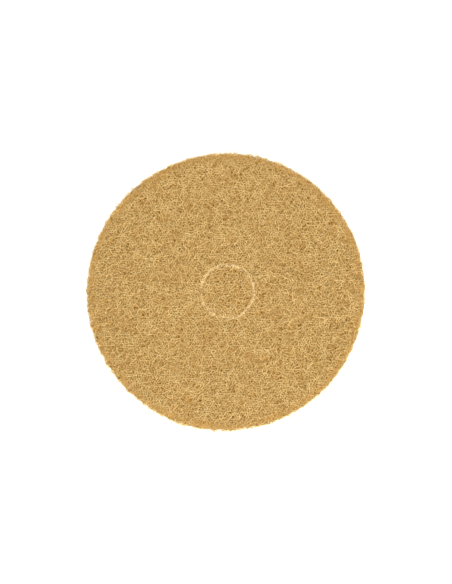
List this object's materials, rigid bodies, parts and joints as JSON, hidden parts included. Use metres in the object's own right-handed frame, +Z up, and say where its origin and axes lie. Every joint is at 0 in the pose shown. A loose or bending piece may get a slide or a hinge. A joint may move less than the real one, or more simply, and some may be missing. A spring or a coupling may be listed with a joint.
{
  "type": "floor polishing pad",
  "caption": "Round tan polishing pad of open nonwoven fibre web for a rotary floor machine, with a die-cut centre knock-out still in place.",
  "frame": {"origin": "middle of the face that the pad lies on", "axes": "+Z up through the pad's thickness, +Y towards the top of the pictured face, +X to its right"},
  "size_m": [0.4329, 0.4323, 0.025],
  "materials": {
    "fibre_web": "lofty web of crimped tan nylon fibres bonded with resin, matt, with paler cut ends at the rim and round the knock-out"
  },
  "bodies": {
    "root": {"floor_pad": "fibre_web"}
  },
  "joints": []
}
